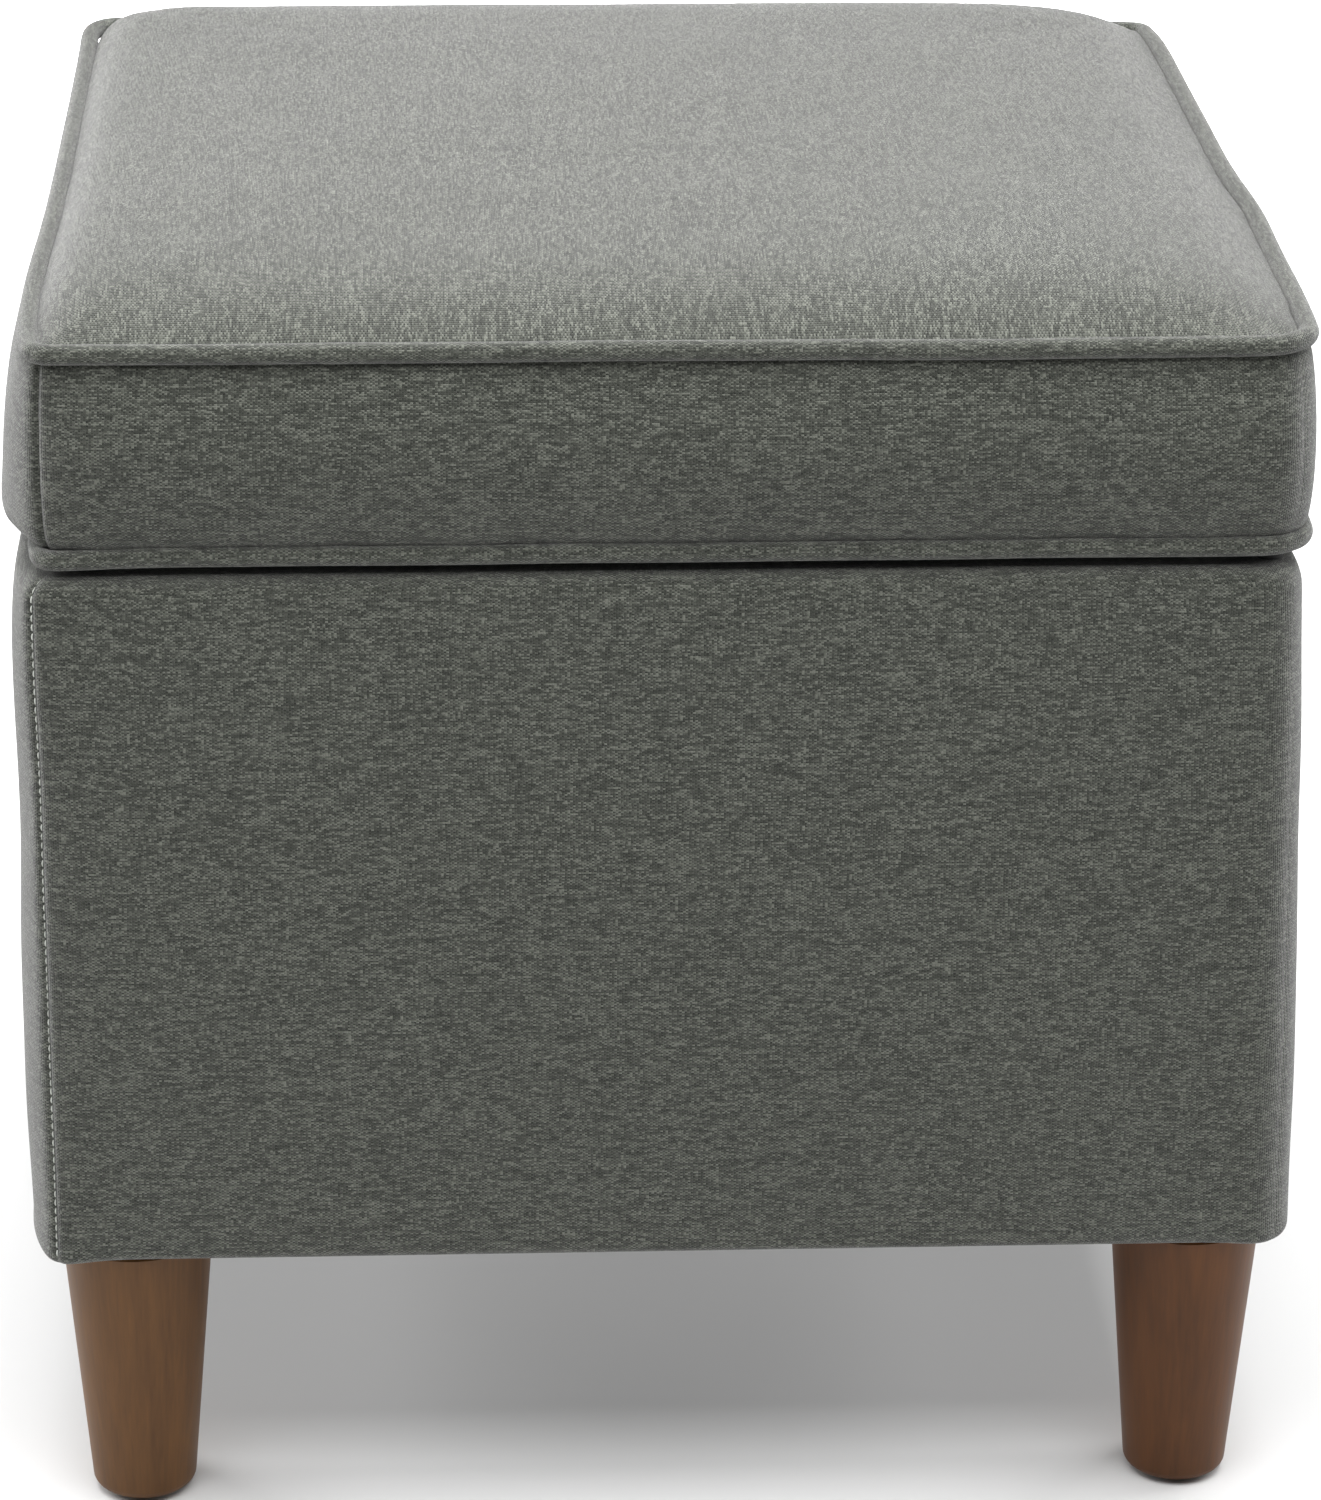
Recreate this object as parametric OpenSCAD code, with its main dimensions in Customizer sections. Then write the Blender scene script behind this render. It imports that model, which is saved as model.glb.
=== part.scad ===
// Square storage ottoman: an upholstered box on four tapered legs, with a
// padded lid that turns up on two butt hinges and is stopped by two slotted stays.
// Origin: centre of the footprint, on the floor. +Z is up and the front faces -Y.

/* [Upholstered box] */
// Width and depth of the box over its fabric, at the corners
box_w = 416; // [384:2:440]
// Height of the four wooden side panels
panel_h = 244; // [210:2:280]
// Thickness of the side panels
panel_t = 12; // [9:1:15]
// Swell of the padding at the left and right sides
box_swell_side = 10; // [4:1:14]
// Swell of the padding at the front and back
box_swell_face = 2; // [0:0.5:3]

/* [Lid] */
// Width and depth of the lid over its side band, at the corners
lid_w = 410; // [376:2:440]
// Height from the underside of the lid to the top of the upper welt
lid_edge_h = 75.4; // [60:0.2:90]
// Rise of the cushion above the upper welt
crown_h = 18; // [8:1:22]
// Swell of the side band at the left and right
lid_swell_side = 13; // [6:1:16]
// Thickness of the board inside the lid
lid_board_t = 12; // [9:1:15]
// Radius of the fabric-covered welt cord
welt_r = 3.5; // [2.5:0.25:4]

/* [Legs] */
// Length of a wooden leg
leg_h = 99; // [80:1:130]
// Radius of a leg at its top
leg_top_r = 26; // [20:0.5:28]
// Radius of a leg at its foot
leg_foot_r = 18; // [14:0.5:20]
// Distance of a leg's centre from the middle of the box
leg_pos = 181.5; // [150:0.5:181.5]
// Height of the nylon glide under a leg
glide_h = 1.4; // [1:0.2:4]

/* [Hinges and stays] */
// Distance of each hinge from the middle of the box
hinge_pos = 110; // [80:5:140]
// Length of a hinge
hinge_len = 50; // [40:2:60]
// How far the lid opens, in degrees
lid_open = 95; // [85:1:100]
// Distance of both stay pivots from the hinge axis
stay_r = 110; // [100:1:112]

/* [Hidden] */
CORNERS = [
    ["front_left", -1, -1],
    ["front_right", 1, -1],
    ["back_left", -1, 1],
    ["back_right", 1, 1],
];
SIDES = [["left", -1], ["right", 1]];
FACES = [["front", 180], ["back", 0], ["left", 90], ["right", 270]];
$fn = 72;

// Sheet thicknesses
fabric_t = 1;
lining_t = 1;
thin_cloth_t = 0.6;
// Running clearance of a pin in its hole, and of a screw in its hole
run_gap = 0.05;

// Levels, from the floor up
leg_top_z = glide_h + leg_h;
flange_z = leg_top_z + thin_cloth_t;
panel_z = flange_z + fabric_t;
panel_top_z = panel_z + panel_h;
rim_z = panel_top_z + fabric_t;
lid_gap = 2.6;
lid_z = rim_z + lid_gap;
wrap_z = lid_z + thin_cloth_t;
board_z = wrap_z + fabric_t;
foam_z = board_z + lid_board_t;
low_welt_z = lid_z + welt_r + 0.1;
top_welt_z = lid_z + lid_edge_h - welt_r;
band_z = low_welt_z + welt_r + 0.1;
band_top_z = top_welt_z - welt_r - 0.1;
crown_z = lid_z + lid_edge_h + crown_h;

// Half widths
padding_t = 5.8;
box_half = box_w / 2;
cover_in = box_half - fabric_t - 0.2;
panel_half = cover_in - padding_t;
panel_in = panel_half - panel_t;
flap_in = panel_in - fabric_t;
lining_in = flap_in - lining_t;
flange_in = leg_pos - 4;
lid_half = lid_w / 2;
band_in = lid_half - fabric_t - 0.2;
welt_half = lid_half - 1;
top_half = welt_half - welt_r - 0.2;
board_half = top_half - 0.8;
welt_swell_side = 8;
lid_swell_face = 2;
lid_lining_half = panel_in;

// Corner blocks and the storage floor
block_w = 50;
block_h = 30;
floor_z = panel_z + block_h;
floor_t = 9;
floor_top_z = floor_z + floor_t;
screw_line = panel_half - panel_t / 2;
// Easing of the panels' outer edges, so that they don't cut the cloth
top_ease = 4;
corner_ease = 2;

// Leg fasteners
bolt_r = 4;
bolt_z = leg_top_z - 32;
bolt_top_z = floor_z - 2;
nut_r = 5.5;
nut_flange_r = 7;
nut_flange_t = 1.5;
nut_z = floor_z - nut_flange_t - 11;
foot_round = 4;
glide_r = 11;
glide_pin_r = 1.5;
glide_pin_h = 12;

// Hinges
leaf_t = 1.2;
knuckle_r = 2.7;
pin_r = 1.5;
axis_y = box_half + box_swell_face + knuckle_r + 0.4;
axis_z = rim_z + lid_gap / 2;
leaf_y = panel_in - 2;
knuckles = 5;
leaf_screw_pitch = 17;
leaf_screw_r = 1.6;
leaf_screw_head_r = 3;
leaf_screw_l = 12;
leaf_screw_y = screw_line - 1;

// Stays: stud and pivot lie at the same radius from the hinge axis, so the
// arm turns at exactly half the lid's rate.
pivot_drop = 11;
stay_spread = 11.5;
pivot_angle = asin(pivot_drop / stay_r);
stud_angle = pivot_angle + stay_spread;
pivot_y = axis_y - stay_r * cos(pivot_angle);
pivot_z = axis_z - stay_r * sin(pivot_angle);
stud_y = axis_y - stay_r * cos(stud_angle);
stud_z = axis_z - stay_r * sin(stud_angle);
stay_tilt = (pivot_angle + stud_angle) / 2;
stay_travel = 2 * stay_r * sin((lid_open + stay_spread) / 2);
arm_w = 14;
arm_t = 2;
arm_x = lining_in - 3.5;
slot_start = 14;
stud_r = 2.4;
slot_r = stud_r + 0.2;
rivet_r = 2.5;
bracket_t = 1.6;
bracket_x = arm_x - 0.3 - bracket_t;
bracket_base = 22;
bracket_half = 12;
bracket_screw_x = bracket_x - 11;

// Closed outline of a square whose sides swell outwards between its corners.
// half: half width at the corners; swell_x: swell of the left and right sides;
// swell_y: swell of the front and back sides.
side_steps = 14;
corner_steps = 3;
function swell(t) = 1 - pow(abs(t), 5);
function one_side(half, r, bulge) = [
    for (i = [0 : side_steps])
        let (t = -1 + 2 * i / side_steps)
        [half + bulge * swell(t), t * (half - r)],
    for (i = [1 : corner_steps])
        let (a = 90 * i / (corner_steps + 1))
        [half - r + r * cos(a), half - r + r * sin(a)],
];
function turned(points, a) = [
    for (p = points) [p[0] * cos(a) - p[1] * sin(a), p[0] * sin(a) + p[1] * cos(a)]
];
function pillow(half, swell_x, swell_y, r = 5) = [
    for (quarter = [0 : 3])
        each turned(one_side(half, r, quarter % 2 == 0 ? swell_x : swell_y), 90 * quarter)
];

// Round tube that follows a closed, level outline
tube_sides = 8;
module welt_tube(points, r, z) {
    n = len(points);
    rings = [
        for (i = [0 : n - 1])
            let (
                along = points[(i + 1) % n] - points[(i + n - 1) % n],
                out = [along[1], -along[0]] / norm(along)
            )
            for (k = [0 : tube_sides - 1])
                let (a = 360 * k / tube_sides)
                [points[i][0] + r * cos(a) * out[0], points[i][1] + r * cos(a) * out[1], z + r * sin(a)]
    ];
    quads = [
        for (i = [0 : n - 1], k = [0 : tube_sides - 1])
            let (
                j = (i + 1) % n,
                m = (k + 1) % tube_sides,
                a = i * tube_sides,
                b = j * tube_sides
            )
            [a + k, a + m, b + m, b + k]
    ];
    polyhedron(rings, quads);
}

// A solid with a flat base and a crowned top, whose four edges are level
module crowned(half, z_base, z_top) {
    reach = half + welt_swell_side;
    drop = crown_h + welt_r - 1;
    big_r = (reach * reach + drop * drop) / (2 * drop);
    intersection() {
        translate([0, 0, z_base])
            linear_extrude(z_top - z_base + 1)
                polygon(pillow(half, welt_swell_side, lid_swell_face));
        translate([0, 0, z_top - big_r])
            rotate([90, 0, 0])
                cylinder(r = big_r, h = 4 * half, center = true, $fn = 256);
        translate([0, 0, z_top - big_r])
            rotate([0, 90, 0])
                cylinder(r = big_r, h = 4 * half, center = true, $fn = 256);
    }
}

module box_between(low, high) {
    translate(low) cube(high - low);
}

module square_ring(outer, inner, z, h) {
    translate([0, 0, z])
        linear_extrude(h)
            difference() {
                square(2 * outer, center = true);
                square(2 * inner, center = true);
            }
}

module at_corners() {
    for (c = CORNERS) translate([c[1] * leg_pos, c[2] * leg_pos, 0]) children();
}

module on_side(side) {
    mirror([side < 0 ? 1 : 0, 0, 0]) children();
}

// A wood screw along -Z from its countersunk head at z = 0
module screw(r, head_r, length, gap = 0) {
    head_h = head_r - r;
    translate([0, 0, -head_h])
        cylinder(r1 = r + gap, r2 = head_r + gap, h = head_h, $fn = 32);
    translate([0, 0, -length]) cylinder(r = r + gap, h = length - head_h, $fn = 32);
}

// ---- Box: panels and blocks ----

panel_screw_r = 2;
panel_screw_head_r = 4;
panel_screw_l = 40;
module panel_screw_set(gap = 0) {
    for (sx = [-1, 1], back = [0, 1], level = [30, panel_h / 2, panel_h - 30])
        rotate(180 * back)
            translate([sx * screw_line, -panel_half, panel_z + level])
                rotate([90, 0, 0])
                    screw(panel_screw_r, panel_screw_head_r, panel_screw_l, gap);
}

floor_screw_r = 1.75;
floor_screw_head_r = 3.5;
floor_screw_l = 24;
floor_screw_pos = panel_in - block_w + 14;
module floor_screw_set(gap = 0) {
    for (c = CORNERS)
        translate([c[1] * floor_screw_pos, c[2] * floor_screw_pos, floor_top_z])
            screw(floor_screw_r, floor_screw_head_r, floor_screw_l, gap);
}

// What is planed off the outer top edges and the upright corners of the panels
module eased_edges() {
    for (turn = [0 : 90 : 270])
        rotate(turn) {
            translate([0, -panel_half, panel_top_z])
                rotate([45, 0, 0])
                    cube([2 * panel_half + 2, top_ease * sqrt(2), top_ease * sqrt(2)], center = true);
            translate([panel_half, -panel_half, panel_z + panel_h / 2])
                rotate(45)
                    cube([corner_ease * sqrt(2), corner_ease * sqrt(2), panel_h + 2], center = true);
        }
}

// Front or back panel: full width, carrying the screw heads
module face_panel(side) {
    color("burlywood")
        difference() {
            box_between(
                [-panel_half, side > 0 ? panel_in : -panel_half, panel_z],
                [panel_half, side > 0 ? panel_half : -panel_in, panel_top_z]
            );
            eased_edges();
            panel_screw_set(run_gap);
            if (side > 0) hinge_box_screw_set(run_gap);
        }
}

// Left or right panel, held between the front and back panels
module end_panel(side) {
    color("burlywood")
        difference() {
            box_between(
                [side > 0 ? panel_in : -panel_half, -panel_in, panel_z],
                [side > 0 ? panel_half : -panel_in, panel_in, panel_top_z]
            );
            eased_edges();
            panel_screw_set(run_gap);
            on_side(side) stay_stud_screw(run_gap);
        }
}

module floor_panel() {
    color("burlywood")
        difference() {
            box_between([-panel_in, -panel_in, floor_z], [panel_in, panel_in, floor_top_z]);
            floor_screw_set(run_gap);
        }
}

// Softwood block in a lower corner, drilled for the leg's nut and bolt
module corner_block(sx, sy) {
    middle = panel_in - block_w / 2;
    color("wheat")
        difference() {
            translate([sx * middle, sy * middle, panel_z + block_h / 2])
                cube([block_w, block_w, block_h], center = true);
            translate([sx * leg_pos, sy * leg_pos, 0]) {
                translate([0, 0, panel_z - 1])
                    cylinder(r = bolt_r + 0.6, h = nut_z - panel_z + 2);
                translate([0, 0, nut_z])
                    cylinder(r = nut_r + run_gap, h = floor_z - nut_z + 1);
                translate([0, 0, floor_z - nut_flange_t])
                    cylinder(r = nut_flange_r + run_gap, h = nut_flange_t + 1);
            }
            floor_screw_set(run_gap);
        }
}

module panel_screws() {
    color("darkgoldenrod") panel_screw_set();
}

module floor_screws() {
    color("darkgoldenrod") floor_screw_set();
}

// ---- Legs ----

// Tapered round leg with a rounded foot and a slightly eased top edge
module leg(sx, sy) {
    ease = 1;
    profile = [
        [0, 0],
        for (i = [0 : 6])
            let (a = -90 + 15 * i)
            [leg_foot_r - foot_round + foot_round * cos(a), foot_round + foot_round * sin(a)],
        [leg_top_r - 0.05, leg_h - ease],
        [leg_top_r - ease, leg_h],
        [0, leg_h],
    ];
    color("saddlebrown")
        translate([sx * leg_pos, sy * leg_pos, glide_h])
            difference() {
                rotate_extrude() polygon(profile);
                translate([0, 0, bolt_z - glide_h]) cylinder(r = bolt_r + run_gap, h = leg_h);
                translate([0, 0, -1]) cylinder(r = glide_pin_r + run_gap, h = glide_pin_h + 1);
            }
}

// Nail-on nylon glide
module glide(sx, sy) {
    edge = 0.6;
    color("dimgray")
        translate([sx * leg_pos, sy * leg_pos, 0])
            union() {
                rotate_extrude()
                    polygon([
                        [0, 0], [glide_r - edge, 0], [glide_r, edge],
                        [glide_r, glide_h], [0, glide_h],
                    ]);
                cylinder(r = glide_pin_r, h = glide_h + glide_pin_h - 1);
            }
}

module leg_bolts() {
    color("silver")
        at_corners() translate([0, 0, bolt_z]) cylinder(r = bolt_r, h = bolt_top_z - bolt_z);
}

module leg_nuts() {
    color("silver")
        at_corners()
            difference() {
                union() {
                    translate([0, 0, nut_z]) cylinder(r = nut_r, h = floor_z - nut_z);
                    translate([0, 0, floor_z - nut_flange_t])
                        cylinder(r = nut_flange_r, h = nut_flange_t);
                }
                translate([0, 0, nut_z - 1])
                    cylinder(r = bolt_r + run_gap, h = floor_z - nut_z + 2);
            }
}

// ---- Box: padding, cover and linings ----

// Foam sheet on one side of the box. Front and back sheets cover the corners.
module padding(face, turn) {
    is_end = face == "left" || face == "right";
    length = is_end ? panel_half : box_half;
    color("khaki")
        translate([0, 0, panel_z])
            linear_extrude(panel_h)
                intersection() {
                    polygon(pillow(cover_in, box_swell_side, box_swell_face));
                    rotate(turn) translate([-length, panel_half]) square([2 * length, 40]);
                }
}

// Fabric cover: sides, the turn over the rim with its inner flap, and the
// flange stapled under the panels
module box_cover() {
    flap_h = 25;
    outline = pillow(box_half, box_swell_side, box_swell_face);
    color("slategray")
        difference() {
            union() {
                difference() {
                    translate([0, 0, flange_z]) linear_extrude(rim_z - flange_z) polygon(outline);
                    translate([0, 0, panel_z])
                        linear_extrude(panel_h)
                            polygon(pillow(cover_in, box_swell_side, box_swell_face));
                    box_between([-flange_in, -flange_in, flange_z - 1], [flange_in, flange_in, panel_z + 1]);
                    box_between([-flap_in, -flap_in, panel_top_z - 1], [flap_in, flap_in, rim_z + 1]);
                }
                square_ring(panel_in, flap_in, panel_top_z - flap_h, flap_h + fabric_t / 2);
            }
            at_corners() translate([0, 0, flange_z - 1]) cylinder(r = bolt_r + 0.6, h = 3);
            for (side = [-1, 1]) on_side(side) stay_stud_screw(run_gap);
            hinge_box_screw_set(run_gap);
        }
}

module wall_lining() {
    top = rim_z - 4;
    base = floor_top_z + lining_t;
    color("dimgray")
        difference() {
            square_ring(flap_in, lining_in, base, top - base);
            for (side = [-1, 1]) on_side(side) stay_stud_screw(run_gap);
        }
}

module floor_lining() {
    color("dimgray")
        box_between([-flap_in, -flap_in, floor_top_z], [flap_in, flap_in, floor_top_z + lining_t]);
}

dust_half = panel_half - 2;
module dust_cover() {
    color("black")
        difference() {
            box_between([-dust_half, -dust_half, leg_top_z], [dust_half, dust_half, flange_z]);
            at_corners() translate([0, 0, leg_top_z - 1]) cylinder(r = bolt_r + 0.6, h = 3);
        }
}

// One staple, crown down, with its legs pointing up from z = 0
staple_w = 10;
staple_wire = 0.5;
staple_leg = 7;
module staple() {
    translate([-staple_w / 2, -0.6, -staple_wire]) cube([staple_w, 1.2, staple_wire]);
    for (s = [-1, 1])
        translate([s * (staple_w - staple_wire) / 2 - staple_wire / 2, -0.6, -staple_wire])
            cube([staple_wire, 1.2, staple_leg + staple_wire]);
}

// Staples along four sides, at a distance from the middle
module staple_row(distance, z, count, pitch) {
    for (turn = [0 : 90 : 270], i = [0 : count - 1])
        rotate(turn)
            translate([(i - (count - 1) / 2) * pitch, distance, z])
                staple();
}

module dust_cover_staples() {
    color("silver") staple_row(screw_line, leg_top_z, 6, 46);
}

// Rubber bumper on a front corner of the rim
module bumper(side) {
    color("black")
        translate([side * (screw_line + 1), -screw_line - 1, rim_z])
            cylinder(r = 4.5, h = wrap_z - rim_z - 0.2);
}

// ---- Hinges ----

knuckle_l = hinge_len / knuckles;
side_gap = 0.15;
module hinge_leaf(side, lid_leaf) {
    plate_z = lid_leaf ? axis_z + 0.1 : axis_z - 0.1 - leaf_t;
    first = lid_leaf ? 1 : 0;
    color("silver")
        difference() {
            union() {
                box_between(
                    [side * hinge_pos - hinge_len / 2, leaf_y, plate_z],
                    [side * hinge_pos + hinge_len / 2, axis_y - knuckle_r - side_gap, plate_z + leaf_t]
                );
                for (k = [first : 2 : knuckles - 1])
                    translate([side * hinge_pos - hinge_len / 2 + k * knuckle_l, 0, 0]) {
                        box_between(
                            [side_gap, axis_y - knuckle_r - 1, plate_z],
                            [knuckle_l - side_gap, axis_y, plate_z + leaf_t]
                        );
                        translate([side_gap, axis_y, axis_z])
                            rotate([0, 90, 0])
                                cylinder(r = knuckle_r, h = knuckle_l - 2 * side_gap);
                    }
            }
            translate([side * hinge_pos - hinge_len, axis_y, axis_z])
                rotate([0, 90, 0])
                    cylinder(r = pin_r + run_gap, h = 2 * hinge_len);
            if (lid_leaf) hinge_lid_screw_set(run_gap);
            else hinge_box_screw_set(run_gap);
        }
}

module hinge_pin(side) {
    head_h = 1;
    color("silver")
        translate([side * hinge_pos, axis_y, axis_z])
            rotate([0, 90, 0]) {
                cylinder(r = pin_r, h = hinge_len + 0.2, center = true);
                for (end = [-1, 1])
                    translate([0, 0, end * (hinge_len / 2 + head_h / 2 + 0.1)])
                        cylinder(r = knuckle_r - 0.4, h = head_h, center = true);
            }
}

module hinge_box_screw_set(gap = 0) {
    for (side = [-1, 1], i = [-1 : 1])
        translate([side * hinge_pos + i * leaf_screw_pitch, leaf_screw_y, axis_z - 0.1])
            screw(leaf_screw_r, leaf_screw_head_r, leaf_screw_l + leaf_t, gap);
}

module hinge_lid_screw_set(gap = 0) {
    for (side = [-1, 1], i = [-1 : 1])
        translate([side * hinge_pos + i * leaf_screw_pitch, leaf_screw_y, axis_z + 0.1])
            mirror([0, 0, 1])
                screw(leaf_screw_r, leaf_screw_head_r, leaf_screw_l + leaf_t, gap);
}

module hinge_box_screws() {
    color("gray") hinge_box_screw_set();
}

module hinge_lid_screws() {
    color("gray") hinge_lid_screw_set();
}

// ---- Lid stays ----

// Shape along +X, placed on the right-hand wall
module on_wall(x, y, z) {
    translate([x, y, z]) rotate([0, 90, 0]) children();
}

// Threaded end of the stud, going outwards into the side panel
module stay_stud_screw(gap = 0) {
    on_wall(lining_in, stud_y, stud_z) cylinder(r = 2 + gap, h = 12 + gap, $fn = 32);
}

// Shoulder stud that the slotted arm slides on
module stay_stud(side) {
    head_h = 1.8;
    head_x = arm_x - 0.3 - head_h;
    color("silver")
        on_side(side)
            union() {
                stay_stud_screw();
                on_wall(lining_in - 1, stud_y, stud_z) cylinder(r = 7, h = 1);
                on_wall(head_x, stud_y, stud_z) cylinder(r = stud_r, h = lining_in - head_x);
                on_wall(head_x, stud_y, stud_z) cylinder(r = 5.5, h = head_h);
            }
}

// Flat steel arm: pivots on the lid bracket at its top, slotted below
module stay_arm(side) {
    slot_end = stay_travel;
    arm_end = slot_end + 2;
    color("silver")
        on_side(side)
            translate([arm_x, pivot_y, pivot_z])
                rotate([stay_tilt, 0, 0])
                    difference() {
                        union() {
                            box_between([0, -arm_w / 2, -arm_end], [arm_t, arm_w / 2, 0]);
                            for (s = [0, arm_end]) on_wall(0, 0, -s) cylinder(r = arm_w / 2, h = arm_t);
                        }
                        on_wall(-1, 0, 0) cylinder(r = rivet_r + run_gap, h = arm_t + 2);
                        box_between([-1, -slot_r, -slot_end], [arm_t + 1, slot_r, -slot_start]);
                        for (s = [slot_start, slot_end])
                            on_wall(-1, 0, -s) cylinder(r = slot_r, h = arm_t + 2);
                    }
}

// Bracket screwed under the lid, with a tab that carries the arm's pivot
module stay_bracket(side) {
    base_z = lid_z - 1.4;
    tab_r = 8;
    color("silver")
        on_side(side)
            difference() {
                union() {
                    box_between(
                        [bracket_x + bracket_t - bracket_base, pivot_y - bracket_half, base_z],
                        [bracket_x + bracket_t, pivot_y + bracket_half, lid_z]
                    );
                    box_between(
                        [bracket_x, pivot_y - tab_r, pivot_z],
                        [bracket_x + bracket_t, pivot_y + tab_r, base_z + 0.5]
                    );
                    on_wall(bracket_x, pivot_y, pivot_z) cylinder(r = tab_r, h = bracket_t);
                }
                on_wall(bracket_x - 1, pivot_y, pivot_z) cylinder(r = rivet_r + run_gap, h = 4);
                stay_bracket_screw_pair(run_gap);
            }
}

module stay_bracket_screw_pair(gap = 0) {
    for (s = [-1, 1])
        translate([bracket_screw_x, pivot_y + s * 7, lid_z - 1.4])
            mirror([0, 0, 1])
                screw(leaf_screw_r, leaf_screw_head_r, leaf_screw_l, gap);
}

module stay_bracket_screws() {
    color("gray") for (side = [-1, 1]) on_side(side) stay_bracket_screw_pair();
}

// Rivet through the bracket tab and the arm
module stay_rivet(side) {
    head_h = 1;
    color("silver")
        on_side(side)
            union() {
                on_wall(bracket_x - head_h, pivot_y, pivot_z) cylinder(r = 4.5, h = head_h);
                on_wall(bracket_x - head_h / 2, pivot_y, pivot_z)
                    cylinder(r = rivet_r, h = arm_x + arm_t - bracket_x + 1);
                on_wall(arm_x + arm_t + 0.1, pivot_y, pivot_z) cylinder(r = 4.5, h = 0.9);
            }
}

// ---- Lid ----

module lid_board() {
    color("burlywood")
        difference() {
            box_between([-board_half, -board_half, board_z], [board_half, board_half, foam_z]);
            hinge_lid_screw_set(run_gap);
            for (side = [-1, 1]) on_side(side) stay_bracket_screw_pair(run_gap);
        }
}

module lid_foam() {
    color("khaki")
        union() {
            translate([0, 0, foam_z])
                linear_extrude(band_top_z - foam_z)
                    polygon(pillow(band_in, lid_swell_side, lid_swell_face));
            crowned(top_half - fabric_t, band_top_z - 1, crown_z - fabric_t);
        }
}

module lid_top_cover() {
    color("lightslategray")
        difference() {
            crowned(top_half, band_top_z + 0.1, crown_z);
            crowned(top_half - fabric_t, band_top_z - 1, crown_z - fabric_t);
        }
}

module lid_side_band() {
    color("slategray")
        translate([0, 0, band_z])
            linear_extrude(band_top_z - band_z)
                difference() {
                    polygon(pillow(lid_half, lid_swell_side, lid_swell_face));
                    polygon(pillow(band_in, lid_swell_side, lid_swell_face));
                }
}

module lid_welt(z) {
    color("slategray")
        welt_tube(pillow(welt_half, welt_swell_side, lid_swell_face), welt_r, z);
}

// Strip that runs from the lower welt to under the board, where it is stapled
module lid_wrap_strip() {
    inner = lid_lining_half - 12;
    color("slategray")
        difference() {
            translate([0, 0, wrap_z])
                linear_extrude(fabric_t)
                    difference() {
                        polygon(pillow(top_half, welt_swell_side, lid_swell_face));
                        square(2 * inner, center = true);
                    }
            hinge_lid_screw_set(run_gap);
        }
}

module lid_lining() {
    color("dimgray")
        difference() {
            box_between(
                [-lid_lining_half, -lid_lining_half, lid_z],
                [lid_lining_half, lid_lining_half, wrap_z]
            );
            for (side = [-1, 1]) on_side(side) stay_bracket_screw_pair(run_gap);
        }
}

module lid_lining_staples() {
    color("silver") staple_row(lid_lining_half - 4, lid_z, 7, 52);
}

face_panel(-1);  // front_panel
face_panel(1);  // back_panel
end_panel(-1);  // left_panel
end_panel(1);  // right_panel
floor_panel();
panel_screws();
floor_screws();
for (c = CORNERS) {
    corner_block(c[1], c[2]);
    leg(c[1], c[2]);
    glide(c[1], c[2]);
}
leg_bolts();
leg_nuts();
for (f = FACES) {
    padding(f[0], f[1]);
}
box_cover();
wall_lining();
floor_lining();
dust_cover();
dust_cover_staples();
for (s = SIDES) {
    bumper(s[1]);
    hinge_leaf(s[1], false);
    hinge_leaf(s[1], true);
    hinge_pin(s[1]);
    stay_stud(s[1]);
    stay_bracket(s[1]);
    stay_rivet(s[1]);
    stay_arm(s[1]);
}
hinge_box_screws();
hinge_lid_screws();
stay_bracket_screws();
lid_board();
lid_foam();
lid_top_cover();
lid_side_band();
lid_welt(top_welt_z);  // lid_top_welt
lid_welt(low_welt_z);  // lid_bottom_welt
lid_wrap_strip();
lid_lining();
lid_lining_staples();
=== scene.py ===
"""Square storage ottoman: heather fabric over a box on four legs, with a piped, hinged cushion lid."""

import math

import bpy
import numpy as np
from mathutils import Matrix, Vector


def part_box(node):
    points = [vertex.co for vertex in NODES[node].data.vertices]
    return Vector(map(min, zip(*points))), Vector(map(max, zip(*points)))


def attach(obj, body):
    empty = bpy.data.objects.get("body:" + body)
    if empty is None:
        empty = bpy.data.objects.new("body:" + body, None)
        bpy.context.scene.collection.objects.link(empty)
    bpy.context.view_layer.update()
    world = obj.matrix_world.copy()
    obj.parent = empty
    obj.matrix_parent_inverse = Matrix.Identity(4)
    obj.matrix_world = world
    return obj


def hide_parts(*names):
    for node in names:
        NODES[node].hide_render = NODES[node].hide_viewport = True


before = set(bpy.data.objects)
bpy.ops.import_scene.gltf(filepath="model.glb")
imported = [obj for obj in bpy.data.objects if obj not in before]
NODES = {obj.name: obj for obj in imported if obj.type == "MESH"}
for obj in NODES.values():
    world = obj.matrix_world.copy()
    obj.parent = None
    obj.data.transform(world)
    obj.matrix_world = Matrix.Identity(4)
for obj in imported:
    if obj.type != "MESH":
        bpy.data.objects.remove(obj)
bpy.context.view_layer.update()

MM = 0.001


# ---------------------------------------------------------------- camera

def make_camera():
    """A long lens in front of the ottoman and a little above it, with a slight roll."""
    camera = bpy.data.cameras.new("camera")
    camera.sensor_width = 36.0
    camera.lens = 128.3
    camera.clip_start = 0.1
    obj = bpy.data.objects.new("camera", camera)
    look = Vector((0.0474, 0.9256, -0.3755))
    roll = math.radians(0.443)
    turn = look.to_track_quat("-Z", "Y").to_matrix().to_4x4() @ Matrix.Rotation(roll, 4, "Z")
    obj.matrix_world = Matrix.Translation((-0.0869, -1.8329, 0.9445)) @ turn
    bpy.context.collection.objects.link(obj)
    bpy.context.scene.camera = obj


make_camera()


# ---------------------------------------------------------------- node helpers

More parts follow.
